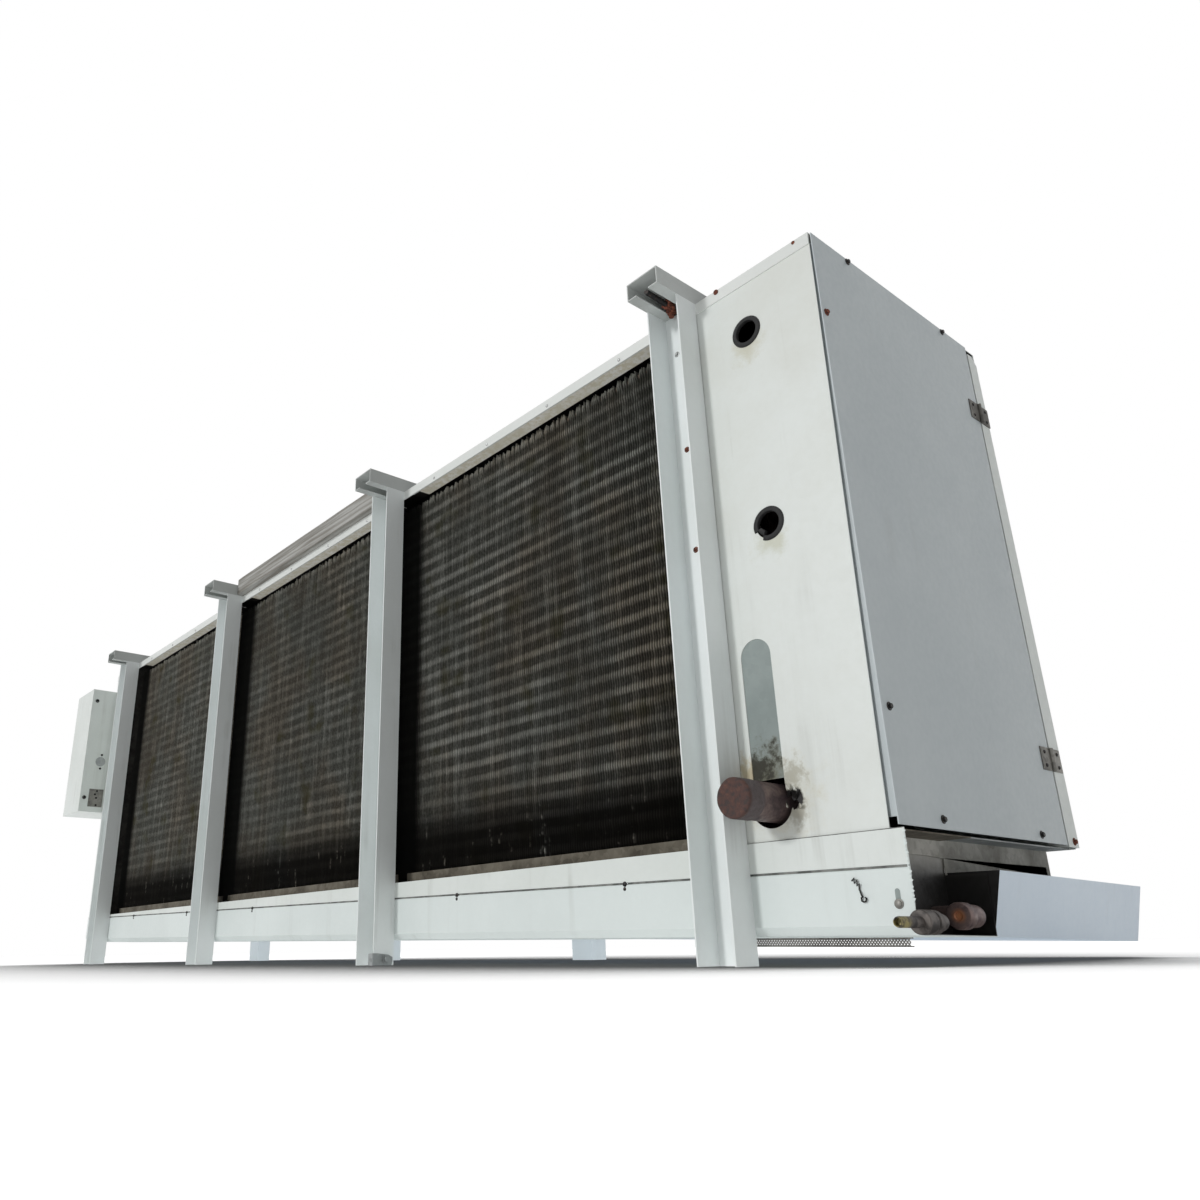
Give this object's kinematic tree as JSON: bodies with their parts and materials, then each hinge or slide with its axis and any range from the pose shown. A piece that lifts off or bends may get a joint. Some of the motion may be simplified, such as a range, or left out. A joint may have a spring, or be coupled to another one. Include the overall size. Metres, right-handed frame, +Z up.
{
  "type": "evaporator unit cooler",
  "caption": "Long fin-and-tube evaporator on channel posts, with drain pans, fans behind the coil and a service compartment closed by a hinged end door.",
  "frame": {"origin": "middle of the bounding box's footprint, at floor level", "axes": "+X along the machine towards the service compartment and its end door, +Y from the coil face towards the fans, +Z up"},
  "size_m": [4.1863, 0.9616, 1.379],
  "materials": {
    "casing_sheet": "satin off-white paint on sheet steel",
    "painted_post": "satin bluish-white paint on roll-formed steel",
    "bare_sheet": "dull galvanised sheet",
    "coil_fin": "weathered dark corrugated fins",
    "copper": "dull oxidised copper",
    "oxidised_cap": "dark red-brown oxide",
    "weathered_board": "grey weathered softwood",
    "black_rubber": "matt",
    "zinc_hinge": "mottled zinc plate",
    "fan_blade": "dull mill finish",
    "guard_wire": "black coated wire",
    "motor_paint": "dark enamel"
  },
  "bodies": {
    "casing": {"coil_fins": "coil_fin", "coil_pan": "casing_sheet", "coil_post_1": "painted_post", "coil_post_2": "painted_post", "coil_post_3": "painted_post", "coil_post_4": "painted_post", "coil_shelf": "bare_sheet", "coil_sill": "bare_sheet", "control_box": "casing_sheet", "control_box_cover": "casing_sheet", "fan_1": "fan_blade", "fan_2": "fan_blade", "fan_3": "fan_blade", "fan_guard_1": "guard_wire", "fan_guard_2": "guard_wire", "fan_guard_3": "guard_wire", "fan_motors": "motor_paint", "fan_pan": "casing_sheet", "fan_panel_1": "casing_sheet", "fan_panel_2": "casing_sheet", "fan_panel_3": "casing_sheet", "fan_posts": "painted_post", "frame_hinge_leaves": "zinc_hinge", "grommets": "black_rubber", "hangers": "painted_post", "hot_gas_stub": "copper", "left_end_housing": "casing_sheet", "left_tube_sheet": "bare_sheet", "liquid_line_stub": "copper", "motor_mounts": "bare_sheet", "pan_mesh_strip": "bare_sheet", "pan_rail": "casing_sheet", "right_tube_sheet": "bare_sheet", "service_floor": "bare_sheet", "service_front_panel": "casing_sheet", "service_rear_panel": "casing_sheet", "slot_cover": "bare_sheet", "spacer_board": "weathered_board", "suction_cap": "oxidised_cap", "suction_header": "copper", "sump_plate": "bare_sheet", "top_panel": "casing_sheet"},
    "end_door": {"end_door": "casing_sheet", "door_hinge_leaves": "zinc_hinge"}
  },
  "joints": [
    {"name": "end_door_hinge", "type": "hinge", "parent": "casing", "child": "end_door", "pos_m": [2.05684, 0.24118, 0.751], "axis": [0, 0, 1], "range_deg": [0, 110]}
  ]
}
